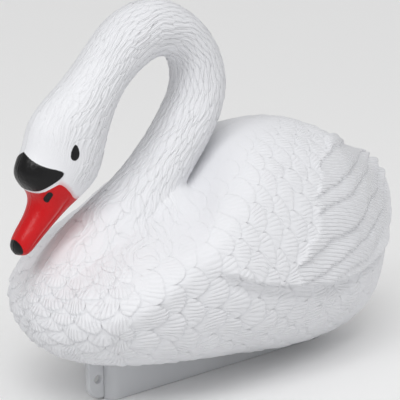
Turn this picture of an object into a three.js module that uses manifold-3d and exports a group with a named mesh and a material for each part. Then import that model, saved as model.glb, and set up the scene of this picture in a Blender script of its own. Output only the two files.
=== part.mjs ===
// Floating swan ornament: a blow-moulded plastic swan with its neck bent down over the breast,
// standing on a separate hollow-moulded keel that has a pierced fin at the front for an anchor line.
// Millimetres, +Z up. The swan faces -Y, its left side is +X, and the keel's underside is Z = 0.

import * as THREE from 'three';
import { mergeVertices } from 'three/addons/utils/BufferGeometryUtils.js';
import Module from 'manifold-3d';

// Driving dimensions.

// The swan is one skin drawn through stations, from the tip of the beak, over the head, round the
// neck's bend, down the breast and along the body to the tail. Each station is a slice:
//   back    where the slice meets the upper (nape and back) line, as [y, z]
//   front   where it meets the lower (throat, breast and belly) line, as [y, z]
//   ridge   half width of the neck or head in that slice
//   body    half width of the body in that slice, 0 where there is only neck
//   share   how much of the slice, counted from the back line, the body takes
//   low     how far the widest place sits below the middle, as a share of the slice
//   droop   how far the slice's sides hang out of its plane, as shoulders slope down from the neck
const stations = [
  { at: 'beak tip', back: [-171, 129], front: [-171, 129], ridge: 0 },
  { at: 'beak tip edge', back: [-174, 134], front: [-163.5, 126.5], ridge: 9.5 },
  { at: 'nail', back: [-170, 143.5], front: [-156, 134], ridge: 11 },
  { at: 'mid beak', back: [-162, 153], front: [-147, 142], ridge: 11.5 },
  { at: 'beak base', back: [-155.5, 164], front: [-137, 151], ridge: 14 },
  { at: 'notch above the beak', back: [-156, 173], front: [-129, 158], ridge: 17.5 },
  { at: 'knob', back: [-170.5, 185.5], front: [-113, 167], ridge: 21 },
  { at: 'brow', back: [-158.5, 203], front: [-104, 176], ridge: 23.5 },
  { at: 'forehead', back: [-156, 220], front: [-99, 188], ridge: 24 },
  { at: 'crown', back: [-140.5, 236], front: [-96, 203], ridge: 24 },
  { at: 'nape', back: [-122, 250], front: [-91, 219], ridge: 22.5 },
  { at: 'rising neck, low', back: [-103, 270], front: [-83, 235], ridge: 21.5 },
  { at: 'rising neck, middle', back: [-86, 291], front: [-68, 249], ridge: 21.5 },
  { at: 'rising neck, high', back: [-61, 303], front: [-52, 259], ridge: 21 },
  { at: 'top of the bend', back: [-37, 304], front: [-38, 262], ridge: 20.5 },
  { at: 'behind the top', back: [-11, 292], front: [-27, 258], ridge: 20 },
  { at: 'falling neck, high', back: [9, 272], front: [-24, 250], ridge: 20.5 },
  { at: 'rearmost neck', back: [20, 247], front: [-23, 241], ridge: 21 },
  { at: 'falling neck, middle', back: [18, 222], front: [-26, 229], ridge: 22 },
  { at: 'falling neck, low', back: [6, 199], front: [-35, 216], ridge: 22.5 },
  { at: 'above the crease', back: [-9, 181], front: [-44, 202], ridge: 22.5 },
  { at: 'crease at the neck root', back: [-22, 166], front: [-58, 189],
    ridge: 23, share: 0.3, droop: 3 },
  { at: 'shoulder start', back: [-25, 162], front: [-77, 173],
    ridge: 24.5, body: 20, share: 0.5, droop: 8 },
  { at: 'shoulder', back: [-22, 164], front: [-102, 157],
    ridge: 31, body: 41.5, share: 0.68, droop: 16 },
  { at: 'upper breast', back: [-15, 170], front: [-129, 137],
    ridge: 41, body: 65, share: 0.82, low: 0.07, droop: 20 },
  { at: 'breast', back: [-6, 178], front: [-152, 112],
    ridge: 47.5, body: 76, share: 0.93, low: 0.12, droop: 19.5 },
  { at: 'lower breast', back: [6, 189], front: [-165, 84],
    ridge: 50.5, body: 80.5, share: 1, low: 0.12, droop: 17 },
  { at: 'breast foot', back: [20, 197], front: [-158, 56],
    ridge: 50.5, body: 81.5, share: 1, low: 0.03, droop: 7.5 },
  { at: 'body, front', back: [40, 202], front: [-126, 37.5],
    ridge: 36, body: 89, share: 1, low: 0.08 },
  { at: 'body, deepest', back: [64, 204], front: [-75, 25],
    ridge: 0, body: 92, share: 1, low: 0.08 },
  { at: 'body, middle', back: [88, 201], front: [-15, 16],
    ridge: 0, body: 91, share: 1, low: 0.08 },
  { at: 'loins', back: [113, 193], front: [45, 10],
    ridge: 0, body: 86, share: 1, low: 0.08 },
  { at: 'rump', back: [141, 175.5], front: [110, 6],
    ridge: 0, body: 72, share: 1, low: 0.07 },
  { at: 'folded wing tips', back: [160, 164.5], front: [166, 16],
    ridge: 0, body: 53.5, share: 1, low: 0.08 },
  { at: 'tail root', back: [194.5, 158.5], front: [175, 44],
    ridge: 0, body: 36, share: 1, low: 0.035 },
  { at: 'tail edge', back: [208.5, 135], front: [190, 80],
    ridge: 0, body: 29, share: 1, low: -0.015 },
  { at: 'tail end', back: [198, 111], front: [198, 111],
    ridge: 0, share: 1 },
];
// How sharply the neck's round section meets the body's: higher is a tighter crease.
const creaseSharpness = 3;

// Folded wings. The lower edge is a shallow curve, lowest at wingLowY, and stands proud of the flank.
const wingLowY = 75;
const wingLowZ = 84;
const wingFrontY = -61;
const wingFrontRise = 32;
const wingProud = 4.5;
const wingEdgeRound = 9;
const wingFade = 55;
const wingStartY = -66;
const wingStartLength = 45;
const wingEndY = 145;
const wingEndLength = 30;

// Coverts: small feathers over the wing's front. They stop in a step at a station that moves back
// towards the spine. Stations and degrees down from the back line.
const covertProud = 2;
const covertStart = [27, 28.5];
const covertTop = [15, 45];
const covertEndStation = 29.6;
const covertEndSweep = 0.065;
const covertEndTop = 40;
const covertStep = 0.15;

// Long flight feathers: slats that start under the coverts, climb towards the spine as they run
// back, and end in stepped tips. Each rises towards its lower edge.
const flightPitch = 10.5;
const flightClimb = 12;
const flightFirst = 23;
const flightLast = 97;
const flightFirstRound = 6;
const flightLastRound = 3;
const flightRise = 2.4;
const flightTipStation = 33;
const flightTipStep = 0.2;
const flightProud = 2.5;
const flightProudStart = [30, 31];
const flightProudTop = [4, 14];

// Where the skin is sampled: steps over each stretch of stations, and over each stretch of the
// slice's half outline, in degrees down from the back line.
const ringStretches = [[0, 7, 12], [7, 20, 17], [20, 26, 13], [26, 36, 28]];
const outlineStretches = [[0, 30, 4], [30, 100, 20], [100, 180, 10]];
const slopeStationStep = 0.01;
const slopeDegreeStep = 0.2;
const weldDistance = 1e-4;

// Keel: a long block under the belly and a thin fin with a round hole at its front.
const keelFrontY = -98.3;
const keelRearY = 130;
const keelHalfWidth = 10.8;
const keelUndersideZ = 0.8;
const keelTopZ = 44;
const keelBowRound = 9;
const keelSternRound = 4;
const finFrontY = -112;
const finHalfThickness = 2.4;
const finUndersideZ = 2.3;
const finTopZ = 38;
const finFootRound = 12;
const finHoleY = -103.3;
const finHoleZ = 18.2;
const finHoleRadius = 3.2;
const finRootInside = 6;
const seatGap = 0.3;

// Uniform cubic B-spline through a row of values: the usual four blended weights, with the row
// carried straight on at both ends so that the curve starts and stops on its end values.
function spline(values, at) {
  const last = values.length - 1;
  const span = Math.min(Math.floor(at), last - 1);
  const u = at - span;
  const value = (i) => {
    if (i < 0) return 2 * values[0] - values[1];
    if (i > last) return 2 * values[last] - values[last - 1];
    return values[i];
  };
  const weights = [
    (1 - u) ** 3 / 6,
    (3 * u ** 3 - 6 * u ** 2 + 4) / 6,
    (-3 * u ** 3 + 3 * u ** 2 + 3 * u + 1) / 6,
    u ** 3 / 6,
  ];
  return weights.reduce((sum, weight, k) => sum + weight * value(span - 1 + k), 0);
}

const row = (pick) => stations.map(pick);
const stationRows = {
  backY: row((s) => s.back[0]),
  backZ: row((s) => s.back[1]),
  frontY: row((s) => s.front[0]),
  frontZ: row((s) => s.front[1]),
  ridge: row((s) => s.ridge),
  body: row((s) => s.body ?? 0),
  share: row((s) => s.share ?? 0),
  low: row((s) => s.low ?? 0),
  droop: row((s) => s.droop ?? 0),
};

// Bare skin without feathers. Down a slice from the back line (0 degrees) to the front line (180),
// the way down is (1 - cos) / 2 plus a little sin squared, and the half width is the rounded larger
// of two half ellipses, the neck's and the body's.
function bareSkin(at, degrees) {
  const v = {};
  for (const [name, values] of Object.entries(stationRows)) v[name] = spline(values, at);
  const angle = THREE.MathUtils.degToRad(degrees);
  const sine = Math.abs(Math.sin(angle));
  const plainWay = (1 - Math.cos(angle)) / 2;
  const way = plainWay + v.low * sine ** 2;
  const bodyWay = Math.min(plainWay / Math.max(v.share, 0.02), 1);
  const neckWidth = Math.max(v.ridge, 0) * sine;
  const bodyWidth = 2 * Math.max(v.body, 0) * Math.sqrt(bodyWay * (1 - bodyWay));
  const width = (neckWidth ** creaseSharpness + bodyWidth ** creaseSharpness) ** (1 / creaseSharpness);
  const acrossY = v.frontY - v.backY;
  const acrossZ = v.frontZ - v.backZ;
  const hang = (v.droop * sine ** 2) / Math.hypot(acrossY, acrossZ, 1e-6);
  return new THREE.Vector3(
    Math.sign(Math.sin(angle)) * width,
    v.backY + acrossY * way - acrossZ * hang,
    v.backZ + acrossZ * way + acrossY * hang,
  );
}

const ease = THREE.MathUtils.smoothstep;

// Height of the folded wing above the bare skin: the shell's proud lower edge, the coverts' step,
// and the flight feathers as overlapping slats.
function wingHeight(at, degrees, point) {
  const down = Math.min(degrees, 360 - degrees);
  const edgeZ = wingLowZ + wingFrontRise * ((point.y - wingLowY) / (wingFrontY - wingLowY)) ** 2;
  const above = point.z - edgeZ;
  const along = ease(point.y, wingStartY, wingStartY + wingStartLength)
    * (1 - ease(point.y, wingEndY, wingEndY + wingEndLength));
  const shell = ease(above, -wingEdgeRound / 2, wingEdgeRound / 2);
  const proud = wingProud * along * Math.exp(-Math.max(above, 0) / wingFade);

  const covertEnd = covertEndStation + covertEndSweep * Math.max(0, covertEndTop - down);
  const behindCoverts = ease(at, covertEnd - covertStep, covertEnd + covertStep);
  const coverts = covertProud * (1 - behindCoverts) * along
    * ease(at, ...covertStart) * ease(down, ...covertTop);

  const sweptAngle = down + flightClimb * (at - covertEndStation);
  const slat = (sweptAngle - flightFirst) / flightPitch;
  const inFan = ease(sweptAngle, flightFirst, flightFirst + flightFirstRound)
    * (1 - ease(sweptAngle, flightLast - flightLastRound, flightLast + flightLastRound));
  const slats = flightRise * (slat - Math.floor(slat)) * inFan * behindCoverts;
  const lifted = flightProud * ease(down, ...flightProudTop) * ease(at, ...flightProudStart);
  const beforeTips = 1 - ease(at, flightTipStation - flightTipStep, flightTipStation + flightTipStep);

  return shell * (proud + coverts + (slats + lifted) * beforeTips);
}

// Skin with the wing: the bare point moved out along the bare skin's normal.
function skin(at, degrees) {
  const point = bareSkin(at, degrees);
  const height = wingHeight(at, degrees, point);
  if (height < weldDistance) return point;
  const alongSkin = bareSkin(at + slopeStationStep, degrees).sub(bareSkin(at - slopeStationStep, degrees));
  const roundSkin = bareSkin(at, degrees + slopeDegreeStep).sub(bareSkin(at, degrees - slopeDegreeStep));
  return point.addScaledVector(roundSkin.cross(alongSkin).normalize(), height);
}

function stretchSteps(stretches) {
  return stretches.flatMap(([from, to, count]) => (
    Array.from({ length: count }, (_, k) => from + ((to - from) * k) / count)
  ));
}

// Closed skin: one ring of points per station step, and one point at each end.
function swanGeometry() {
  const halfOutline = stretchSteps(outlineStretches);
  const outline = [...halfOutline, 180, ...halfOutline.slice(1).reverse().map((degrees) => 360 - degrees)];
  const rings = stretchSteps(ringStretches).slice(1);
  const last = stations.length - 1;
  const points = [new THREE.Vector3(0, ...stations[0].back)];
  for (const at of rings) {
    for (const degrees of outline) {
      const point = skin(at, degrees);
      if (degrees === 0 || degrees === 180) point.x = 0;
      points.push(point);
    }
  }
  points.push(new THREE.Vector3(0, ...stations[last].back));
  const count = outline.length;
  const index = [];
  const corner = (ring, side) => 1 + ring * count + (side % count);
  for (let side = 0; side < count; side += 1) {
    index.push(0, corner(0, side + 1), corner(0, side));
    index.push(points.length - 1, corner(rings.length - 1, side), corner(rings.length - 1, side + 1));
    for (let ring = 0; ring < rings.length - 1; ring += 1) {
      index.push(corner(ring, side), corner(ring + 1, side + 1), corner(ring + 1, side));
      index.push(corner(ring, side), corner(ring, side + 1), corner(ring + 1, side + 1));
    }
  }
  const geometry = new THREE.BufferGeometry().setFromPoints(points);
  geometry.setIndex(index);
  return geometry;
}

// Long block with a rounded bow and rounded rear corners.
function keelBlockGeometry() {
  const outline = new THREE.Shape();
  const w = keelHalfWidth;
  const bow = keelBowRound;
  const stern = keelSternRound;
  outline.moveTo(w, keelFrontY + bow);
  outline.lineTo(w, keelRearY - stern);
  outline.absarc(w - stern, keelRearY - stern, stern, 0, Math.PI / 2);
  outline.absarc(-w + stern, keelRearY - stern, stern, Math.PI / 2, Math.PI);
  outline.lineTo(-w, keelFrontY + bow);
  outline.absarc(-w + bow, keelFrontY + bow, bow, Math.PI, 1.5 * Math.PI);
  outline.absarc(w - bow, keelFrontY + bow, bow, 1.5 * Math.PI, 2 * Math.PI);
  return new THREE.ExtrudeGeometry(outline, {
    depth: keelTopZ - keelUndersideZ, bevelEnabled: false, curveSegments: 5,
  }).translate(0, 0, keelUndersideZ);
}

// Fin drawn as its side view and given its thickness across X. It runs back into the block.
function finGeometry() {
  const outline = new THREE.Shape();
  const r = finFootRound;
  outline.moveTo(keelFrontY + finRootInside, finUndersideZ);
  outline.lineTo(keelFrontY + finRootInside, finTopZ);
  outline.lineTo(finFrontY, finTopZ);
  outline.lineTo(finFrontY, finUndersideZ + r);
  outline.absarc(finFrontY + r, finUndersideZ + r, r, Math.PI, 1.5 * Math.PI);
  const geometry = new THREE.ExtrudeGeometry(outline, {
    depth: 2 * finHalfThickness, bevelEnabled: false, curveSegments: 6,
  });
  return geometry.rotateX(Math.PI / 2).rotateZ(Math.PI / 2).translate(-finHalfThickness, 0, 0);
}

function finHoleGeometry() {
  const length = 4 * finHalfThickness;
  return new THREE.CylinderGeometry(finHoleRadius, finHoleRadius, length, 24)
    .rotateZ(Math.PI / 2)
    .translate(0, finHoleY, finHoleZ);
}

const manifold = await Module();
manifold.setup();

function toSolid(geometry) {
  const bare = geometry.clone();
  bare.deleteAttribute('normal');
  bare.deleteAttribute('uv');
  const merged = mergeVertices(bare, weldDistance);
  return new manifold.Manifold(new manifold.Mesh({
    numProp: 3,
    vertProperties: new Float32Array(merged.attributes.position.array),
    triVerts: new Uint32Array(merged.index.array),
  }));
}

function toGeometry(solid) {
  const mesh = solid.getMesh();
  const geometry = new THREE.BufferGeometry();
  geometry.setAttribute('position', new THREE.BufferAttribute(new Float32Array(mesh.vertProperties), 3));
  geometry.setIndex(Array.from(mesh.triVerts));
  return geometry;
}

const swanSkin = swanGeometry();
// The keel's upper side is the belly's own shape, left a hair below it.
const keelSolid = toSolid(keelBlockGeometry())
  .add(toSolid(finGeometry()))
  .subtract(toSolid(finHoleGeometry()))
  .subtract(toSolid(swanSkin.clone().translate(0, 0, -seatGap)));

const whitePlastic = new THREE.MeshStandardMaterial({ color: 0xf2f3f5, roughness: 0.45, metalness: 0 });
const greyWhitePlastic = new THREE.MeshStandardMaterial({ color: 0xd3d5d8, roughness: 0.5, metalness: 0 });

const swan = new THREE.Mesh(swanSkin, whitePlastic);
swan.name = 'swan';
const keel = new THREE.Mesh(toGeometry(keelSolid), greyWhitePlastic);
keel.name = 'keel';

const ornament = new THREE.Group();
ornament.add(swan, keel);

// The stations are drawn from a zero of their own. The part's origin is under the middle of its box.
const box = new THREE.Box3().setFromObject(ornament);
ornament.position.set(0, -(box.min.y + box.max.y) / 2, -box.min.z);

export default ornament;
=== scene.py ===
import math

import bmesh
import bpy
import numpy as np
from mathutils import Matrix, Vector


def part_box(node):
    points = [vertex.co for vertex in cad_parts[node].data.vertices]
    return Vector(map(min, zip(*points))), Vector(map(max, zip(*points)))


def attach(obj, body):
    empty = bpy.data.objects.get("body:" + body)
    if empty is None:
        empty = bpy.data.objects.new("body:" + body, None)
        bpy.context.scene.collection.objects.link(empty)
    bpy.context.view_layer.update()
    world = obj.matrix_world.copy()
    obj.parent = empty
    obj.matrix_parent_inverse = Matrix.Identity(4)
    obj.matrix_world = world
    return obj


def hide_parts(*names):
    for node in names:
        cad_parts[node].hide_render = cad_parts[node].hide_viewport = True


# Floating swan ornament. A white blow-moulded swan stands on a separate keel. It faces -Y, its left
# side is +X, and the keel's underside is at Z = 0. Shapes are worked out in millimetres.

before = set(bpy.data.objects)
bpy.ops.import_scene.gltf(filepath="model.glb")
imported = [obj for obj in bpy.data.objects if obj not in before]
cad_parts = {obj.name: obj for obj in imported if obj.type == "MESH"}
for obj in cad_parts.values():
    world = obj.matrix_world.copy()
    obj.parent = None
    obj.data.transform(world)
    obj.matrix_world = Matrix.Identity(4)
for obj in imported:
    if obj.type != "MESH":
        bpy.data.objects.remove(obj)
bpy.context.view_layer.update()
mm = 0.001

# Swan: one hollow piece of white polyethylene, blown in a mould of two halves, so the plumage is part
# of its skin and a parting line runs round its middle. Knob, beak, nail, nostrils and eyes are paint.

# The skin is drawn through slices from beak tip to tail end, in millimetres from a zero of its own:
# name, (y, z) on the back line, (y, z) on the front line, half width of the neck, half width of the
# body, the body's share of the slice, how low its widest place sits, how far its sides hang.
stations = (
    ("beak tip", (-171, 129), (-171, 129), 0, 0, 0, 0, 0),
    ("beak tip edge", (-174, 134), (-163.5, 126.5), 9.5, 0, 0, 0, 0),
    ("nail", (-170, 143.5), (-156, 134), 11, 0, 0, 0, 0),
    ("mid beak", (-162, 153), (-147, 142), 11.5, 0, 0, 0, 0),
    ("beak base", (-155.5, 164), (-137, 151), 14, 0, 0, 0, 0),
    ("notch above the beak", (-156, 173), (-129, 158), 17.5, 0, 0, 0, 0),
    ("knob", (-170.5, 185.5), (-113, 167), 21, 0, 0, 0, 0),
    ("brow", (-158.5, 203), (-104, 176), 23.5, 0, 0, 0, 0),
    ("forehead", (-156, 220), (-99, 188), 24, 0, 0, 0, 0),
    ("crown", (-140.5, 236), (-96, 203), 24, 0, 0, 0, 0),
    ("nape", (-122, 250), (-91, 219), 22.5, 0, 0, 0, 0),
    ("rising neck, low", (-103, 270), (-83, 235), 21.5, 0, 0, 0, 0),
    ("rising neck, middle", (-86, 291), (-68, 249), 21.5, 0, 0, 0, 0),
    ("rising neck, high", (-61, 303), (-52, 259), 21, 0, 0, 0, 0),
    ("top of the bend", (-37, 304), (-38, 262), 20.5, 0, 0, 0, 0),
    ("behind the top", (-11, 292), (-27, 258), 20, 0, 0, 0, 0),
    ("falling neck, high", (9, 272), (-24, 250), 20.5, 0, 0, 0, 0),
    ("rearmost neck", (20, 247), (-23, 241), 21, 0, 0, 0, 0),
    ("falling neck, middle", (18, 222), (-26, 229), 22, 0, 0, 0, 0),
    ("falling neck, low", (6, 199), (-35, 216), 22.5, 0, 0, 0, 0),
    ("above the crease", (-9, 181), (-44, 202), 22.5, 0, 0, 0, 0),
    ("crease at the neck root", (-22, 166), (-58, 189), 23, 0, 0.3, 0, 3),
    ("shoulder start", (-25, 162), (-77, 173), 24.5, 20, 0.5, 0, 8),
    ("shoulder", (-22, 164), (-102, 157), 31, 41.5, 0.68, 0, 16),
    ("upper breast", (-15, 170), (-129, 137), 41, 65, 0.82, 0.07, 20),
    ("breast", (-6, 178), (-152, 112), 47.5, 76, 0.93, 0.12, 19.5),
    ("lower breast", (6, 189), (-165, 84), 50.5, 80.5, 1, 0.12, 17),
    ("breast foot", (20, 197), (-158, 56), 50.5, 81.5, 1, 0.03, 7.5),
    ("body, front", (40, 202), (-126, 37.5), 36, 89, 1, 0.08, 0),
    ("body, deepest", (64, 204), (-75, 25), 0, 92, 1, 0.08, 0),
    ("body, middle", (88, 201), (-15, 16), 0, 91, 1, 0.08, 0),
    ("loins", (113, 193), (45, 10), 0, 86, 1, 0.08, 0),
    ("rump", (141, 175.5), (110, 6), 0, 72, 1, 0.07, 0),
    ("folded wing tips", (160, 164.5), (166, 16), 0, 53.5, 1, 0.08, 0),
    ("tail root", (194.5, 158.5), (175, 44), 0, 36, 1, 0.035, 0),
    ("tail edge", (208.5, 135), (190, 80), 0, 29, 1, -0.015, 0),
    ("tail end", (198, 111), (198, 111), 0, 0, 1, 0, 0),
)
crease_sharpness = 3
fin_front_y = -112
keel_underside_z = 0.8
keel_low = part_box("keel")[0]
place = np.array([0, keel_low.y - fin_front_y * mm, keel_low.z - keel_underside_z * mm])


def spline(values, at):
    """Uniform cubic B-spline through a row of values: four blended weights, and the row carried
    straight on at both ends so that the curve starts and stops on its end values. The values may be
    rows themselves, and then `at` is a plain list of places."""
    values = np.asarray(values, float)
    row = np.concatenate([[2 * values[0] - values[1]], values, [2 * values[-1] - values[-2]]])
    span = np.clip(np.floor(at).astype(int), 0, len(values) - 2)
    u = at - span
    if values.ndim > 1:
        u = u[:, None]
    weights = ((1 - u) ** 3, 3 * u**3 - 6 * u**2 + 4, -3 * u**3 + 3 * u**2 + 3 * u + 1, u**3)
    return sum(weight * row[span + k] for k, weight in enumerate(weights)) / 6


def bare_skin(at, degrees):
    """Skin without feathers. Down a slice from the back line (0 degrees) to the front line (180) the
    way down is (1 - cos) / 2 plus low * sin^2, and the half width is the rounded larger of two half
    ellipses, the neck's and the body's. The sides hang out of the slice by droop * sin^2."""
    back_y, back_z = (spline([s[1][k] for s in stations], at) for k in (0, 1))
    front_y, front_z = (spline([s[2][k] for s in stations], at) for k in (0, 1))
    ridge, body, share, low, droop = (spline([s[k] for s in stations], at) for k in range(3, 8))
    sine = np.abs(np.sin(np.radians(degrees)))
    plain_way = (1 - np.cos(np.radians(degrees))) / 2
    way = plain_way + low * sine**2
    body_way = np.minimum(plain_way / np.maximum(share, 0.02), 1)
    neck_width = np.maximum(ridge, 0) * sine
    body_width = 2 * np.maximum(body, 0) * np.sqrt(body_way * (1 - body_way))
    width = (neck_width**crease_sharpness + body_width**crease_sharpness) ** (1 / crease_sharpness)
    across_y, across_z = front_y - back_y, front_z - back_z
    hang = droop * sine**2 / np.maximum(np.hypot(across_y, across_z), 1e-6)
    y = back_y + across_y * way - across_z * hang
    z = back_z + across_z * way + across_y * hang
    return np.stack([width, y, z], axis=-1)


def ease(value, low, high):
    """Smooth step: 0 below low, 1 above high, 3u^2 - 2u^3 between."""
    u = np.clip((value - low) / (high - low), 0, 1)
    return u * u * (3 - 2 * u)


def wander(points, size, seed):
    """Smooth irregularity between about -1 and 1: a sum of six sine waves of random direction and
    phase, each about `size` millimetres long."""
    random = np.random.default_rng(seed)
    total = 0
    for _ in range(6):
        direction = random.normal(size=3)
        wave = direction / np.linalg.norm(direction) * 2 * np.pi / (size * random.uniform(0.7, 1.4))
        total = total + np.sin(points @ wave + random.uniform(0, 2 * np.pi))
    return total / 3


def shingles(row, column, depth, roundness, point):
    """Overlapping feathers on a grid, one row long and one column wide, odd rows half a feather
    aside. A tip is the curve row = i + 1 + depth * (1 - |2 across|^roundness)^point, and the feather
    nearer the head lies on top. Gives how far up from its own tip a point lies, its place across
    the feather (-0.5 to 0.5), how far it lies below the tip that overlaps it, and the column of
    the feather's middle."""
    own = np.floor(row)
    part = row - own
    aside = (own % 2) / 2

    def tip(across):
        return 1 + depth * np.maximum(1 - np.abs(2 * across) ** roundness, 0) ** point

    across_own = (column + aside) % 1 - 0.5
    across_over = (column + 0.5 - aside) % 1 - 0.5
    past = part + 1 - tip(across_over)
    covered = past < 0
    up = np.where(covered, -past, tip(across_own) - part)
    across = np.where(covered, across_over, across_own)
    return up, across, np.where(covered, 2, past), column - across


# Where the skin is worked out: rings over each stretch of stations, and half of each ring.
ring_stretches = ((0, 10, 230), (10, 21.5, 240), (21.5, 36, 450))
half_ring = 240
at = np.concatenate([np.linspace(a, b, n, endpoint=False) for a, b, n in ring_stretches])[1:, None]
down = np.linspace(0, 180, half_ring + 1)[None, :]
skin = bare_skin(at, down)
left = bare_skin(at, down - 0.2)
left[:, 0, 0] *= -1
right = bare_skin(at, down + 0.2)
right[:, -1, 0] *= -1
onward = bare_skin(np.minimum(at + 0.01, 36), down) - bare_skin(at - 0.01, down)
outward = np.cross(right - left, onward)
outward /= np.linalg.norm(outward, axis=-1, keepdims=True) + 1e-12

# Lengths over the skin, in millimetres: along the feathers' flow from the neck root, and down the
# half ring from the back line.
along = np.linalg.norm(np.diff(skin, axis=0), axis=-1).cumsum(axis=0)
along = np.concatenate([np.zeros((1, half_ring + 1)), along])
neck_root = np.argmin(np.abs(at[:, 0] - 22))
along -= along[neck_root]
ring_along = along.mean(axis=1, keepdims=True)
around = np.linalg.norm(np.diff(skin, axis=1), axis=-1).cumsum(axis=1)
around = np.concatenate([np.zeros((len(at), 1)), around], axis=1)
half_length = around[:, -1:]
y, z = skin[..., 1], skin[..., 2]

# Neck and head: narrow pointed tufts that lie down the neck, nearly smooth on the forehead.
tuft_length, tufts_per_side, tuft_rise = 13, 14, 0.75
tuft_row = (0.6 * along + 0.4 * ring_along) / tuft_length + 0.5 * wander(skin, 15, 3)
tuft_column = around / half_length * tufts_per_side + 0.3 * wander(skin, 24, 4)
tuft_share = np.maximum(ease(at, 6.9, 8.6), ease(at, 5.9, 6.9) * ease(down, 88, 105))
tuft_share = tuft_share * (0.45 + 0.55 * np.maximum(ease(down, 35, 85), ease(at, 9.5, 12)))
tuft_end = at - 2.2 * ease(down, 95, 135)
tuft_share = tuft_share * (1 - 0.25 * ease(tuft_end, 20.5, 22.5)) * (1 - ease(tuft_end, 22.6, 24.6))
tuft_share = tuft_share * (1 - ease(at, 20.8, 22) * (1 - ease(down, 70, 95)))
tuft_up, tuft_across, tuft_past, _ = shingles(tuft_row, tuft_column, 1.0, 1.3, 1)
tufts = tuft_rise * (1 - tuft_up / 2) + 0.8 * (1 - (2 * tuft_across) ** 2)
tufts = (tufts - 0.9) * tuft_share

# Wing: its lower edge is a shallow curve, lowest at wing_low_y, and stands proud of the flank.
wing_low_y, wing_low_z, wing_front_y, wing_front_rise = 75, 84, -61, 32
edge_z = wing_low_z + wing_front_rise * ((y - wing_low_y) / (wing_front_y - wing_low_y)) ** 2
edge_z = edge_z + 0.7 * wander(skin, 40, 8)
above_edge = z - edge_z
wing_along = ease(y, -66, -36) * (1 - ease(y, 145, 175))
shell = ease(above_edge, -1.4, 1.4)
on_wing = ease(above_edge, -4, 4) * ease(y, -60, -30)
covert_end = 29.6 + 0.007 * np.maximum(95 - down, 0) + 0.05 * np.maximum(0, 40 - down)
covert_end = covert_end + 0.1 * wander(skin, 22, 9)
behind_coverts = ease(at, covert_end - 0.06, covert_end + 0.06)
on_flight = behind_coverts * ease(above_edge, -1, 1)


def follow(points, direction):
    """The smooth field over a grid of points whose steps between neighbours come nearest, by least
    squares, to step . direction. Each step counts by the width of skin beside it over its length."""
    number = np.arange(points[..., 0].size).reshape(points.shape[:2])
    matrix = np.zeros((number.size, number.size))
    wanted = np.zeros(number.size)
    matrix[0, 0] = 1
    for axis in (0, 1):
        later = [slice(1, None) if axis == k else slice(None) for k in (0, 1)]
        sooner = [slice(None, -1) if axis == k else slice(None) for k in (0, 1)]
        later, sooner = tuple(later), tuple(sooner)
        step = points[later] - points[sooner]
        change = (step * (direction[later] + direction[sooner])).sum(axis=-1) / 2
        beside = np.linalg.norm(np.gradient(points, axis=1 - axis), axis=-1)
        weight = (beside[later] + beside[sooner]) / 2 / (np.linalg.norm(step, axis=-1) + 1e-6)
        ahead, behind = number[later], number[sooner]
        matrix[ahead, ahead] += weight
        matrix[behind, behind] += weight
        matrix[ahead, behind] -= weight
        matrix[behind, ahead] -= weight
        wanted[ahead] += weight * change
        wanted[behind] -= weight * change
    return np.linalg.solve(matrix, wanted).reshape(number.shape)


def steepest(points, field):
    """Unit direction over the skin in which a field climbs fastest, from its slopes along the two
    ways of the grid and the grid's own lengths and angle."""
    (first, second), (climb_first, climb_second) = (
        [np.gradient(values, axis=axis) for axis in (0, 1)] for values in (points, field)
    )
    squared_first, mixed_product, squared_second = (
        (a * b).sum(axis=-1) for a, b in ((first, first), (first, second), (second, second))
    )
    share_first = squared_second * climb_first - mixed_product * climb_second
    share_second = squared_first * climb_second - mixed_product * climb_first
    climb = first * share_first[..., None] + second * share_second[..., None]
    return climb / (np.linalg.norm(climb, axis=-1, keepdims=True) + 1e-9)


# Body feathers: round-tipped scallops. Two smooth fields in millimetres carry them, solved on a
# coarse grid of every few rings and sides: how far a point lies from the breast's middle line
# towards the tail, and how far down. Breast feathers point straight down and lie over those of the
# flanks and wing coverts, which point to the rear and are smaller on the wing.
first_body_ring = np.argmin(np.abs(at[:, 0] - 23))
coarse_rings, coarse_sides = 7, 6
coarse = skin[first_body_ring::coarse_rings, ::coarse_sides]
coarse_outward = outward[first_body_ring::coarse_rings, ::coarse_sides]
rearward = np.cross([0, 0, 1], coarse_outward)
rearward[..., 1] += coarse_outward[..., 2] ** 2
rearward -= coarse_outward * (rearward * coarse_outward).sum(axis=-1, keepdims=True)
rearward /= np.linalg.norm(rearward, axis=-1, keepdims=True) + 1e-9
rear_field = follow(coarse, rearward)
rear_field -= rear_field[np.argmin(np.abs(at[first_body_ring::coarse_rings, 0] - 25.5)), -1]
down_field = follow(coarse, np.cross(steepest(coarse, rear_field), coarse_outward))


def refined(field):
    """A field on the coarse grid of the body carried over to the full grid by B-splines."""
    ring_at = np.clip((np.arange(len(at)) - first_body_ring) / coarse_rings, 0, len(field) - 1)
    side_at = np.arange(half_ring + 1) / coarse_sides
    return spline(spline(field, ring_at).T, side_at).T


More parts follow.
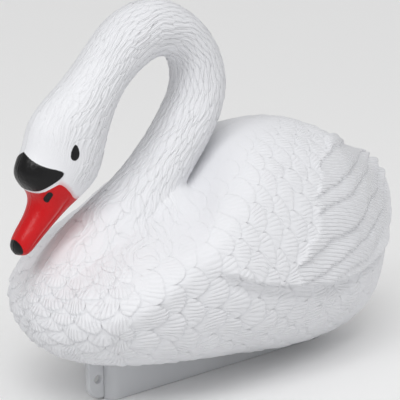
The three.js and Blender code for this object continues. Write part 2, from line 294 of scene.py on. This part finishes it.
breast_length, breast_width, breast_reach = 10, 18.5, 70
flank_length, flank_width, covert_squeeze = 16.5, 22, 0.5
scallop_rise = 2.0
rear = refined(rear_field)
wing_start = rear.ravel()[np.argmin(np.abs(y + 60) + np.abs(z - 105) + np.abs(at - 26))]
rear = rear + covert_squeeze * np.maximum(rear - wing_start, 0) * ease(above_edge, -1, 1)
rear = rear + 3.2 * wander(skin, 45, 5) + 1.1 * wander(skin, 22, 15)
deep = refined(down_field) + 2.8 * wander(skin, 50, 6) + 1.1 * wander(skin, 22, 16)
feathered_top = 130 + 0.2 * (y + 140) + 0.5 * np.maximum(y + 62, 0)
scallop_share = ease(feathered_top - z, 0, 34)
scallop_share = scallop_share * (1 - (1 - ease(down, 8, 34)) * (1 - ease(at, 28, 29.8)))
beside_keel = 1 - (1 - ease(skin[..., 0], 11.5, 15)) * (1 - ease(z, 38, 46))
scallop_share = scallop_share * beside_keel * (1.35 - 0.35 * ease(z, 75, 115))
rear_flank = ease(y, 100, 150) * (1 - ease(above_edge, -6, 0))
scallop_share = scallop_share * (1 - 0.6 * rear_flank) * (1 - on_flight) * (1 - ease(at, 33, 34))
breast_up, breast_across, _, breast_column = shingles(
    deep / breast_length + 60, rear / breast_width + 60.5, 0.75, 2, 0.5
)
flank_up, flank_across, _, _ = shingles(
    rear / flank_length + 60, deep / flank_width + 60, 0.6, 2, 0.5
)
on_breast = breast_column < breast_reach / breast_width + 60.5
scallop_up = np.where(on_breast, breast_up, flank_up)
scallop_across = np.where(on_breast, breast_across, flank_across)
scallops = scallop_rise * (1 - scallop_up / 1.75) - 0.8 * (2 * scallop_across) ** 2
scallops = (scallops - 1.2) * scallop_share

# Long flight feathers: overlapping slats of uneven width that climb towards the spine as they run
# back. Each ends in a rounded tip, and a shorter feather lies on its front half.
flight_pitch, flight_climb, flight_first, flight_last = 12, 12, 10, 104
swept = down + flight_climb * (at - 29.6) + 1.5 * wander(skin, 60, 7)
slat = (swept - flight_first) / flight_pitch + 40
slat = slat + 0.16 * np.sin(2.4 * slat) + 0.06 * wander(skin, 25, 17)
slat_number = np.floor(slat)
slat_part = slat - slat_number
in_fan = ease(swept, flight_first, flight_first + 10) * (1 - 0.6 * ease(swept, flight_last - 8, flight_last + 8))
bulge = 4 * slat_part * (1 - slat_part)
tip_at = 33.6 + 0.35 * bulge + 0.15 * np.sin(2.1 * slat_number)
short_tip_at = 31.1 + 0.45 * bulge + 0.35 * np.sin(2.7 * slat_number)
before_tips = 1 - ease(at, tip_at - 0.08, tip_at + 0.08)
on_short = 1 - ease(at, short_tip_at - 0.06, short_tip_at + 0.06)
slats = (3 * slat_part + 0.8 * bulge + 1.2 * on_short) * in_fan * behind_coverts
lifted = 2.2 * ease(down, 4, 14) * ease(at, 30, 31)
flight_share = on_flight * before_tips * in_fan
short_past = np.maximum(at - short_tip_at, 0) * 14

wing = 5 * wing_along * np.exp(-np.maximum(above_edge, 0) / 55)
wing = wing + 2 * (1 - behind_coverts) * wing_along * ease(at, 27, 28.5) * ease(down, 15, 45)
wing = shell * (wing + (slats + lifted) * before_tips)
under_edge = -2 * wing_along * np.exp(-(((above_edge + 7) / 4) ** 2))

# Face: the mask and knob stand a little proud, with the beak's mouth line and nostrils sunk.
mask_low = 5.08 + 1.16 * (down / 75) ** 2.5
mask_high = 6.93 - 0.31 * np.sin(np.pi * np.minimum(down, 90) / 95)
station_mm, degree_mm = 11, 0.38
corner = 2.2
mask_rims = ((at - mask_low) * station_mm, (mask_high - at) * station_mm, (82 - down) * degree_mm)
mask = -corner * np.log(sum(np.exp(-np.clip(rim, -60, 30) / corner) for rim in mask_rims))
red_high = np.where(down < 77, 4.92 + 1.16 * (down / 77) ** 2.4, 6.08 - 0.55 * ease(down, 77, 125))
red = (red_high - at) * station_mm
nail = (1.62 - 0.55 * (down / 74) ** 2 - at) * 7
nostril_low, nostril_high = np.array([13.0, -152.0, 168.4]), np.array([15.8, -150.7, 172.4])
nostril_radius = 2.3
slot = nostril_high - nostril_low
share = np.clip(((skin - nostril_low) @ slot) / (slot @ slot), 0, 1)
nostril = nostril_radius - np.linalg.norm(skin - nostril_low - share[..., None] * slot, axis=-1)
eye_rise = (z - 201.3) / 5.7
eye_half_width = 3.2 * (1 - 0.35 * eye_rise)
eye_y = -133.6 + 0.5 * eye_rise
eye = (1 - np.hypot((y - eye_y) / eye_half_width, eye_rise)) * 3.2
eye = np.where((at > 6) & (at < 9), eye, -9)
nostril = np.where(at < 7, nostril, -9)
mouth = np.exp(-(((down - 106) * 0.3) ** 2)) * ease(at, 1.2, 2.2) * (1 - ease(at, 5.0, 5.7))
# Painted highlight: a pale line along the beak's edge just above the mouth line, standing in for light caught on that
# edge.
painted_lip_highlight = np.exp(-(((down - 99) * 0.3) ** 2)) * ease(at, 1.4, 2.4) * (1 - ease(at, 4.6, 5.3))
face = 0.7 * ease(mask, -0.5, 0.5) - 0.9 * ease(nostril, -0.4, 0.9) - 0.6 * mouth
face = face + 0.35 * ease(eye, -0.3, 1.2)


def softened(field, times):
    """The field with its steps rounded: each value becomes (before + 2 * own + after) / 4 along the
    rings and round them, some times over."""
    for _ in range(times):
        wide = np.pad(field, 1, mode="reflect")
        field = (wide[:-2, 1:-1] + 2 * wide[1:-1, 1:-1] + wide[2:, 1:-1]) / 4
        wide = np.pad(field, 1, mode="reflect")
        field = (wide[1:-1, :-2] + 2 * wide[1:-1, 1:-1] + wide[1:-1, 2:]) / 4
    return field


belly_lift = 3.4 * (1 - ease(z, 20, 48)) * (1 - ease(y, -20, 70))
body_relief = softened(scallops + wing + under_edge, 1)
relief = tufts + body_relief + face - belly_lift
relief = relief * ease(at, 0, 0.6) * (1 - ease(at, 35.2, 35.9))
skin = skin + outward * relief[..., None]
skin[:, 0, 0] = 0
skin[:, -1, 0] = 0


def closed_skin(name, rings, first_end, last_end):
    """A closed mesh from rings of points: quads between neighbouring rings, and a fan of triangles
    from each end ring to its end point."""
    count, around_count = rings.shape[:2]
    points = np.concatenate([rings.reshape(-1, 3), [first_end, last_end]])
    ring, side = np.meshgrid(np.arange(count - 1), np.arange(around_count), indexing="ij")
    onward_side = (side + 1) % around_count
    here = ring * around_count
    quads = np.stack(
        [here + side, here + onward_side, here + around_count + onward_side, here + around_count + side],
        axis=-1,
    ).reshape(-1, 4)
    sides = np.arange(around_count)
    next_sides = (sides + 1) % around_count
    last = (count - 1) * around_count
    fan_start = np.stack([np.full(around_count, len(points) - 2), next_sides, sides], axis=-1)
    fan_end = np.stack([np.full(around_count, len(points) - 1), last + sides, last + next_sides], axis=-1)
    corners = np.concatenate([quads.ravel(), fan_start.ravel(), fan_end.ravel()])
    sizes = np.concatenate([np.full(len(quads), 4), np.full(2 * around_count, 3)])
    mesh = bpy.data.meshes.new(name)
    mesh.vertices.add(len(points))
    mesh.vertices.foreach_set("co", points.astype(np.float32).ravel())
    mesh.loops.add(len(corners))
    mesh.loops.foreach_set("vertex_index", corners.astype(np.int32))
    mesh.polygons.add(len(sizes))
    mesh.polygons.foreach_set("loop_start", np.concatenate([[0], sizes.cumsum()[:-1]]).astype(np.int32))
    mesh.update(calc_edges=True)
    mesh.validate()
    return mesh


def mirrored(half):
    """The half ring's values carried on round the other side, from 0 to 360 degrees."""
    return np.concatenate([half, half[:, -2:0:-1]], axis=1)


rings = mirrored(skin)
rings[:, half_ring + 1:, 0] *= -1
beak_tip = np.array([0, *stations[0][1]])
tail_end = np.array([0, *stations[-1][1]])
swan_mesh = closed_skin("swan_skin", rings * mm + place, beak_tip * mm + place, tail_end * mm + place)


def keep_values(mesh, name, *halves):
    """Stores values worked out over the skin as a named attribute of the mesh's points."""
    full = [mirrored(np.broadcast_to(half, skin.shape[:2])).ravel() for half in halves]
    full = np.stack([np.append(values, values[[0, -1]]) for values in full], axis=-1)
    if len(halves) == 1:
        mesh.attributes.new(name, "FLOAT", "POINT").data.foreach_set("value", full.astype(np.float32).ravel())
    else:
        mesh.attributes.new(name, "FLOAT_VECTOR", "POINT").data.foreach_set("vector", full.astype(np.float32).ravel())


red_haze = ease(down, 70, 80)
barb_column = around / 3.0 + 2.2 * (at - 30)
keep_values(swan_mesh, "tufts", tuft_row, tuft_column, tuft_share)
keep_values(swan_mesh, "scallops", rear, deep, scallop_share)
keep_values(swan_mesh, "flight", slat, barb_column, flight_share)
keep_values(swan_mesh, "short_tips", short_past)
keep_values(swan_mesh, "black_paint", np.maximum(np.maximum(mask, nail), np.maximum(nostril, eye)))
keep_values(swan_mesh, "red_paint", red)
keep_values(swan_mesh, "red_haze", red_haze)
keep_values(swan_mesh, "painted_lip_highlight", painted_lip_highlight)

swan = bpy.data.objects.new("moulded_swan", swan_mesh)
bpy.context.scene.collection.objects.link(swan)
thinning = swan.modifiers.new("thinning", "DECIMATE")
triangle_budget = 196000
thinning.ratio = triangle_budget / (2 * rings.shape[0] * rings.shape[1])
finished = bpy.data.meshes.new_from_object(swan.evaluated_get(bpy.context.evaluated_depsgraph_get()))
swan.modifiers.clear()
swan.data = finished
swan.data.polygons.foreach_set("use_smooth", np.ones(len(swan.data.polygons), bool))
print("swan triangles", len(swan.data.polygons), "vertices", len(swan.data.vertices))


class Field:
    """A value that varies over the surface. Arithmetic on fields adds Math nodes to the material."""

    def __init__(self, tree, socket):
        self.tree = tree
        self.socket = socket

    def math(self, operation, *others):
        node = self.tree.nodes.new("ShaderNodeMath")
        node.operation = operation
        for socket, value in zip(node.inputs, (self, *others)):
            if isinstance(value, Field):
                self.tree.links.new(value.socket, socket)
            else:
                socket.default_value = value
        return Field(self.tree, node.outputs[0])

    def __add__(self, other):
        return self.math("ADD", other)

    def __sub__(self, other):
        return self.math("SUBTRACT", other)

    def __mul__(self, other):
        return self.math("MULTIPLY", other)

    def __neg__(self):
        return self.math("MULTIPLY", -1)

    def between(self, low, high):
        """Smooth step of this field from low to high."""
        node = self.tree.nodes.new("ShaderNodeMapRange")
        node.interpolation_type = "SMOOTHSTEP"
        self.tree.links.new(self.socket, node.inputs["Value"])
        node.inputs["From Min"].default_value = low
        node.inputs["From Max"].default_value = high
        return Field(self.tree, node.outputs["Result"])


def stored(tree, name, parts=1):
    """Fields read from the mesh's named attribute."""
    node = tree.nodes.new("ShaderNodeAttribute")
    node.attribute_name = name
    if parts == 1:
        return Field(tree, node.outputs["Fac"])
    split = tree.nodes.new("ShaderNodeSeparateXYZ")
    tree.links.new(node.outputs["Vector"], split.inputs[0])
    return [Field(tree, output) for output in split.outputs]


def shingle_fields(row, column, depth, roundness, point):
    """The same overlapping feathers as shingles(), worked out by nodes at every shaded point."""
    own = row.math("FLOOR")
    part = row - own
    aside = (own * 0.5).math("FRACT")

    def tip(across):
        reach = (across * 2).math("ABSOLUTE").math("POWER", roundness)
        return (-reach + 1).math("MAXIMUM", 0).math("POWER", point) * depth + 1

    across_own = (column + aside).math("FRACT") - 0.5
    across_over = (column - aside + 0.5).math("FRACT") - 0.5
    past = part + 1 - tip(across_over)
    covered = past.math("LESS_THAN", 0)
    up_own = tip(across_own) - part
    up = up_own + covered * (-past - up_own)
    across = across_own + covered * (across_over - across_own)
    return up, across, past + covered * 2, column - across


def noise(tree, scale, detail=2.0):
    """A noise field on the piece's own coordinates, with `scale` lumps to the metre."""
    place_node = tree.nodes.new("ShaderNodeTexCoord")
    node = tree.nodes.new("ShaderNodeTexNoise")
    node.inputs["Scale"].default_value = scale
    node.inputs["Detail"].default_value = detail
    tree.links.new(place_node.outputs["Object"], node.inputs["Vector"])
    return Field(tree, node.outputs["Fac"])


def mixed(tree, factor, first, second):
    """Colour between two colours, each given as numbers or as a node's output."""
    node = tree.nodes.new("ShaderNodeMix")
    node.data_type = "RGBA"
    tree.links.new(factor.socket, node.inputs["Factor"])
    for socket, colour in ((node.inputs["A"], first), (node.inputs["B"], second)):
        if isinstance(colour, bpy.types.NodeSocket):
            tree.links.new(colour, socket)
        else:
            socket.default_value = (*colour, 1)
    return node.outputs["Result"]


white = (0.76, 0.765, 0.79)
# The darker white is what painted shade under the feather edges and a random tone mix towards.
shaded_white = (0.62, 0.63, 0.67)
black_paint = (0.003, 0.003, 0.0035)
beak_red = (0.53, 0.002, 0.005)

plumage = bpy.data.materials.new("moulded_white_plastic")
plumage.use_nodes = True
tree = plumage.node_tree
shader = tree.nodes["Principled BSDF"]

rear_place, deep_place, share = stored(tree, "scallops", 3)
breast = shingle_fields(
    deep_place * (1 / breast_length) + 60, rear_place * (1 / breast_width) + 60.5, 0.75, 2, 0.5
)
flank = shingle_fields(
    rear_place * (1 / flank_length) + 60, deep_place * (1 / flank_width) + 60, 0.6, 2, 0.5
)
breast_here = breast[3].math("LESS_THAN", breast_reach / breast_width + 60.5)
up = flank[0] + breast_here * (breast[0] - flank[0])
across = flank[1] + breast_here * (breast[1] - flank[1])
past = flank[2] * 14 + breast_here * (breast[2] * breast_length - flank[2] * 14)
barb_waves = (across * (up * 0.45 + 1) * (6.5 * math.pi)).math("COSINE").math("ABSOLUTE")
barbs = barb_waves * (-up.between(0.6, 1.15) + 1) * 0.38
lip = (past * (-1 / 2.1)).math("EXPONENT")
rim = (up * (-12.5 / 1.3)).math("EXPONENT")
scallop_bump = (barbs - lip * 0.8 + rim * 0.25) * share

row, column, tuft = stored(tree, "tufts", 3)
up, across, past, _ = shingle_fields(row, column, 1.0, 1.3, 1)
hairs = (across * (3 * 2 * math.pi)).math("COSINE") * 0.1
tuft_lip = (past * (-12.5 / 2)).math("EXPONENT")
tuft_bump = hairs * tuft.math("POWER", 0.5) - tuft_lip * tuft * 0.3

slat_field, barb_field, flight = stored(tree, "flight", 3)
slat_part = slat_field.math("FRACT")
flight_lip = (slat_part * (-16 / 1.4)).math("EXPONENT")
short_lip = (stored(tree, "short_tips") * (-1 / 1.4)).math("EXPONENT")
short_lip = short_lip * (-(short_lip * 1e4 - 9.99e3).math("MAXIMUM", 0).math("MINIMUM", 1) + 1)
flight_barbs = ((barb_field + slat_field.math("FLOOR") * 0.37) * (2 * math.pi)).math("COSINE")
flight_bump = (flight_barbs * 0.4 - flight_lip * 0.8 - short_lip * 0.4) * flight

grain = noise(tree, 900) * 0.02
own_place = tree.nodes.new("ShaderNodeTexCoord")
own_axes = tree.nodes.new("ShaderNodeSeparateXYZ")
tree.links.new(own_place.outputs["Object"], own_axes.inputs[0])
off_middle = Field(tree, own_axes.outputs["X"]).math("ABSOLUTE")
parting_line = (-off_middle.between(0.1 * mm, 0.9 * mm) + 1) * 0.3
red_distance = stored(tree, "red_paint")
black_cover = stored(tree, "black_paint").between(-0.2, 0.2)
painted = red_distance.between(-0.25, 0.25).math("MAXIMUM", black_cover)
brush_marks = painted * noise(tree, 420) * 0.3
height = scallop_bump + tuft_bump + flight_bump + parting_line + grain + brush_marks
bump = tree.nodes.new("ShaderNodeBump")
bump.inputs["Distance"].default_value = mm
tree.links.new(height.socket, bump.inputs["Height"])
tree.links.new(bump.outputs["Normal"], shader.inputs["Normal"])

# Painted shade: the white is darkened in a thin line under each overlapping feather tip, tuft tip and flight feather
# edge, where shade falls, and a little random tone from noise is added on top.
hollow = (lip * share + flight_lip * flight + tuft_lip * tuft * 0.3).math("MINIMUM", 1) * 0.2
painted_shade_and_tone = hollow + noise(tree, 14) * 0.08
colour = mixed(tree, painted_shade_and_tone, white, shaded_white)
haze = red_distance.between(-3.2, 0.4) * stored(tree, "red_haze") * 0.45
red_cover = red_distance.between(-0.25, 0.25).math("MAXIMUM", haze)
colour = mixed(tree, red_cover, colour, beak_red)
# Painted highlight: the beak's edge above the mouth line is mixed towards pale pink.
colour = mixed(tree, stored(tree, "painted_lip_highlight") * 0.22, colour, (0.8, 0.5, 0.5))
colour = mixed(tree, black_cover, colour, black_paint)
tree.links.new(colour, shader.inputs["Base Color"])
roughness = painted * -0.15 + 0.46 + noise(tree, 60) * 0.06
tree.links.new(roughness.socket, shader.inputs["Roughness"])
shader.inputs["Specular IOR Level"].default_value = 0.3
swan.data.materials.clear()
swan.data.materials.append(plumage)
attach(swan, "root")
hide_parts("swan")

# Keel: one hollow moulding of greyer polyethylene, pressed on under the belly. It is a long block
# with a rounded bow, and at its front a thin fin with a round hole for an anchor line.
keel_front_y, keel_rear_y, keel_half_width = -98.3, 130, 10.8
bow_round, stern_round, keel_edge_round = 9, 4, 1.2
fin_half_thickness, fin_underside_z, fin_foot_round, fin_edge_round = 2.4, 2.3, 12, 1.1
fin_root_y = keel_front_y + 6
hole_y, hole_z, hole_radius = -103.3, 18.2, 3.2
seat_gap = 0.3

# The belly above the keel: height of its middle line, and how it rises to the sides.
belly_ring = at[:, 0] > 24
near_middle = half_ring * 172 // 180
belly_y, belly_z = skin[belly_ring, -1, 1], skin[belly_ring, -1, 2]
belly_rise = (skin[belly_ring, near_middle, 2] - belly_z) / skin[belly_ring, near_middle, 0] ** 2
lowest_front = np.argmin(belly_y)


def belly_height(x, y):
    """Height of the belly over a point: the middle line's height plus rise * x^2."""
    along_y = belly_y[lowest_front:]
    middle = np.interp(y, along_y, belly_z[lowest_front:])
    return middle + np.interp(y, along_y, belly_rise[lowest_front:]) * x**2


def ring_mesh(name, rings, closed):
    """A mesh of quads between rings of points. Closed joins the last ring to the first."""
    count, around_count = rings.shape[:2]
    ring, side = np.meshgrid(np.arange(count if closed else count - 1), np.arange(around_count), indexing="ij")
    next_ring = (ring + 1) % count
    next_side = (side + 1) % around_count
    corners = [(ring, side), (ring, next_side), (next_ring, next_side), (next_ring, side)]
    faces = np.stack([r * around_count + q for r, q in corners], axis=-1).reshape(-1, 4)
    mesh = bpy.data.meshes.new(name)
    mesh.from_pydata((rings.reshape(-1, 3) * mm + place).tolist(), [], faces.tolist())
    return mesh


# Block: the same outline on every level, drawn in at the bottom edge and gathered to a middle line
# below and above.
quarter = np.radians(np.linspace(0, 90, 13))
rear_arc = np.stack([keel_half_width - stern_round + stern_round * np.cos(quarter),
                     keel_rear_y - stern_round + stern_round * np.sin(quarter)], axis=-1)
bow_arc = np.stack([keel_half_width - bow_round + bow_round * np.sin(quarter),
                    keel_front_y + bow_round - bow_round * np.cos(quarter)], axis=-1)
side_y = np.linspace(keel_front_y + bow_round, keel_rear_y - stern_round, 90)[1:-1]
left_side = np.stack([np.full_like(side_y, keel_half_width), side_y], axis=-1)
left_outline = np.concatenate([bow_arc, left_side, rear_arc])
outline = np.concatenate([left_outline, left_outline[::-1] * [-1, 1]])
side_slope = np.gradient(outline, axis=0)
outline_out = np.stack([side_slope[:, 1], -side_slope[:, 0]], axis=-1)
outline_out /= np.linalg.norm(outline_out, axis=-1, keepdims=True)
levels = []
for share in (0.02, 0.35, 0.7):
    gathered = (outline - outline_out * keel_edge_round) * [share, 1]
    levels.append(np.c_[gathered, np.full(len(outline), keel_underside_z)])
for angle in np.radians(np.linspace(0, 90, 6)):
    drawn_in = outline - outline_out * keel_edge_round * (1 - np.sin(angle))
    height = keel_underside_z + keel_edge_round * (1 - np.cos(angle))
    levels.append(np.c_[drawn_in, np.full(len(outline), height)])
rim = belly_height(outline[:, 0], outline[:, 1]) - seat_gap
for share in np.linspace(0.15, 1, 6):
    levels.append(np.c_[outline, levels[8][:, 2] * (1 - share) + rim * share])
for share in (0.7, 0.35, 0.02):
    gathered = outline * [share, 1]
    levels.append(np.c_[gathered, belly_height(gathered[:, 0], gathered[:, 1]) - seat_gap])
block_mesh = ring_mesh("keel_block", np.array(levels), closed=False)

# Fin: a closed band round the hole. Each ray from the hole's middle meets the side view's outline,
# and the band's section is a rounded box between hole and outline.
foot = np.radians(np.linspace(180, 270, 24))
foot_arc = np.stack([fin_front_y + fin_foot_round * (1 + np.cos(foot)),
                     fin_underside_z + fin_foot_round * (1 + np.sin(foot))], axis=-1)
underside = np.stack([np.linspace(fin_front_y + fin_foot_round, fin_root_y, 12)[1:],
                      np.full(11, fin_underside_z)], axis=-1)
top_y = np.linspace(fin_root_y, fin_front_y, 30)
seat = np.stack([top_y, belly_height(fin_half_thickness, top_y) - seat_gap], axis=-1)
front_z = np.linspace(seat[-1, 1], fin_underside_z + fin_foot_round, 14)[1:-1]
front_edge = np.stack([np.full_like(front_z, fin_front_y), front_z], axis=-1)
root_z = np.linspace(fin_underside_z, seat[0, 1], 20)[1:-1]
root_edge = np.stack([np.full_like(root_z, fin_root_y), root_z], axis=-1)
fin_outline = np.concatenate([foot_arc, underside, root_edge, seat, front_edge])
ray_angle = np.arctan2(fin_outline[:, 1] - hole_z, fin_outline[:, 0] - hole_y)
ray_length = np.hypot(fin_outline[:, 1] - hole_z, fin_outline[:, 0] - hole_y)
rays = np.linspace(-np.pi, np.pi, 144, endpoint=False)
reach = np.interp(rays, np.sort(ray_angle), ray_length[np.argsort(ray_angle)], period=2 * np.pi)
corner_steps = np.radians(np.linspace(0, 90, 5))
hollow_corner = np.stack([fin_edge_round * (1 - np.cos(corner_steps)),
                          fin_half_thickness - fin_edge_round * (1 - np.sin(corner_steps))], axis=-1)
sections = []
for way_out in np.linspace(0, 1, 8)[1:-1]:
    sections.append((hole_radius + fin_edge_round + (reach - hole_radius - 2 * fin_edge_round) * way_out,
                     fin_half_thickness))
near_side = [(hole_radius + out, x) for out, x in hollow_corner]
far_side = [(reach - out, x) for out, x in hollow_corner[::-1]]
half_section = near_side + sections + far_side
whole_section = half_section + [(radius, -x) for radius, x in half_section[::-1]]
band = []
for radius, x in whole_section:
    radius = radius + 0 * reach
    band.append(np.stack([x + 0 * reach, hole_y + radius * np.cos(rays), hole_z + radius * np.sin(rays)], axis=-1))
fin_mesh = ring_mesh("keel_fin", np.array(band), closed=True)

keel = bpy.data.objects.new("moulded_keel", block_mesh)
fin = bpy.data.objects.new("keel_fin", fin_mesh)
for piece in (keel, fin):
    bpy.context.scene.collection.objects.link(piece)
    shape = bmesh.new()
    shape.from_mesh(piece.data)
    bmesh.ops.remove_doubles(shape, verts=shape.verts, dist=0.001 * mm)
    bmesh.ops.holes_fill(shape, edges=shape.edges)
    bmesh.ops.recalc_face_normals(shape, faces=shape.faces)
    shape.to_mesh(piece.data)
    shape.free()
join = keel.modifiers.new("join", "BOOLEAN")
join.operation = "UNION"
join.solver = "EXACT"
join.object = fin
joined = bpy.data.meshes.new_from_object(keel.evaluated_get(bpy.context.evaluated_depsgraph_get()))
keel.modifiers.clear()
keel.data = joined
bpy.data.objects.remove(fin)
keel.data.polygons.foreach_set("use_smooth", np.ones(len(keel.data.polygons), bool))
keel.data.set_sharp_from_angle(angle=math.radians(40))

keel_finish = bpy.data.materials.new("moulded_grey_white_plastic")
keel_finish.use_nodes = True
keel_tree = keel_finish.node_tree
keel_shader = keel_tree.nodes["Principled BSDF"]
keel_tone = mixed(keel_tree, noise(keel_tree, 25), (0.51, 0.52, 0.54), (0.59, 0.60, 0.62))
keel_tree.links.new(keel_tone, keel_shader.inputs["Base Color"])
keel_roughness = noise(keel_tree, 60) * 0.08 + 0.44
keel_tree.links.new(keel_roughness.socket, keel_shader.inputs["Roughness"])
keel_bump = keel_tree.nodes.new("ShaderNodeBump")
keel_bump.inputs["Distance"].default_value = mm
keel_tree.links.new((noise(keel_tree, 700) * 0.03).socket, keel_bump.inputs["Height"])
keel_tree.links.new(keel_bump.outputs["Normal"], keel_shader.inputs["Normal"])
keel.data.materials.clear()
keel.data.materials.append(keel_finish)
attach(keel, "root")
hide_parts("keel")

# Floor
floor_mesh = bpy.data.meshes.new("floor")
floor_mesh.from_pydata([(-40, -40, 0), (40, -40, 0), (40, 40, 0), (-40, 40, 0)], [], [(0, 1, 2, 3)])
floor = bpy.data.objects.new("floor", floor_mesh)
bpy.context.scene.collection.objects.link(floor)
floor_finish = bpy.data.materials.new("pale_floor")
floor_finish.use_nodes = True
floor_shader = floor_finish.node_tree.nodes["Principled BSDF"]
floor_shader.inputs["Base Color"].default_value = (0.87, 0.87, 0.87, 1)
floor_shader.inputs["Roughness"].default_value = 0.9
floor_mesh.materials.append(floor_finish)


def soft_light(name, kind, azimuth, elevation, strength):
    """A light that faces the swan from an azimuth (turned from -Y towards +X) and an elevation, in
    degrees: a SUN for even light over swan and floor, or a small AREA lamp 2 m away."""
    turn, rise = math.radians(azimuth), math.radians(elevation)
    back = Vector((math.sin(turn) * math.cos(rise), -math.cos(turn) * math.cos(rise), math.sin(rise)))
    lamp = bpy.data.lights.new(name, kind)
    lamp.energy = strength
    holder = bpy.data.objects.new(name, lamp)
    holder.location = back * 2 + Vector((0, 0, 0.12))
    holder.rotation_euler = (-back).to_track_quat("-Z", "Y").to_euler()
    bpy.context.scene.collection.objects.link(holder)
    return lamp


soft_light("key", "SUN", 44, 54, 0.84).angle = math.radians(30)
soft_light("side", "SUN", 98, 28, 0.56).angle = math.radians(80)
soft_light("overhead", "SUN", 60, 80, 0.4).angle = math.radians(60)
soft_light("glint", "AREA", 14, 36, 7).size = 0.5
world = bpy.data.worlds.new("studio")
world.use_nodes = True
world.node_tree.nodes["Background"].inputs["Color"].default_value = (1, 1, 1, 1)
world.node_tree.nodes["Background"].inputs["Strength"].default_value = 0.42
bpy.context.scene.world = world
bpy.context.scene.view_settings.view_transform = "Standard"

# Camera
azimuth, elevation, distance = math.radians(50), math.radians(13.2114), 954.18 * mm
aim = np.array([0, place[1], 142.907 * mm + place[2]])
offset = np.array([
    math.sin(azimuth) * math.cos(elevation),
    -math.cos(azimuth) * math.cos(elevation),
    math.sin(elevation),
])
lens = bpy.data.cameras.new("camera")
lens.sensor_width = 36
lens.lens = 108
lens.clip_end = 20
camera = bpy.data.objects.new("camera", lens)
camera.location = aim + offset * distance
camera.rotation_euler = (math.pi / 2 - elevation, 0, azimuth)
bpy.context.scene.collection.objects.link(camera)
bpy.context.scene.camera = camera
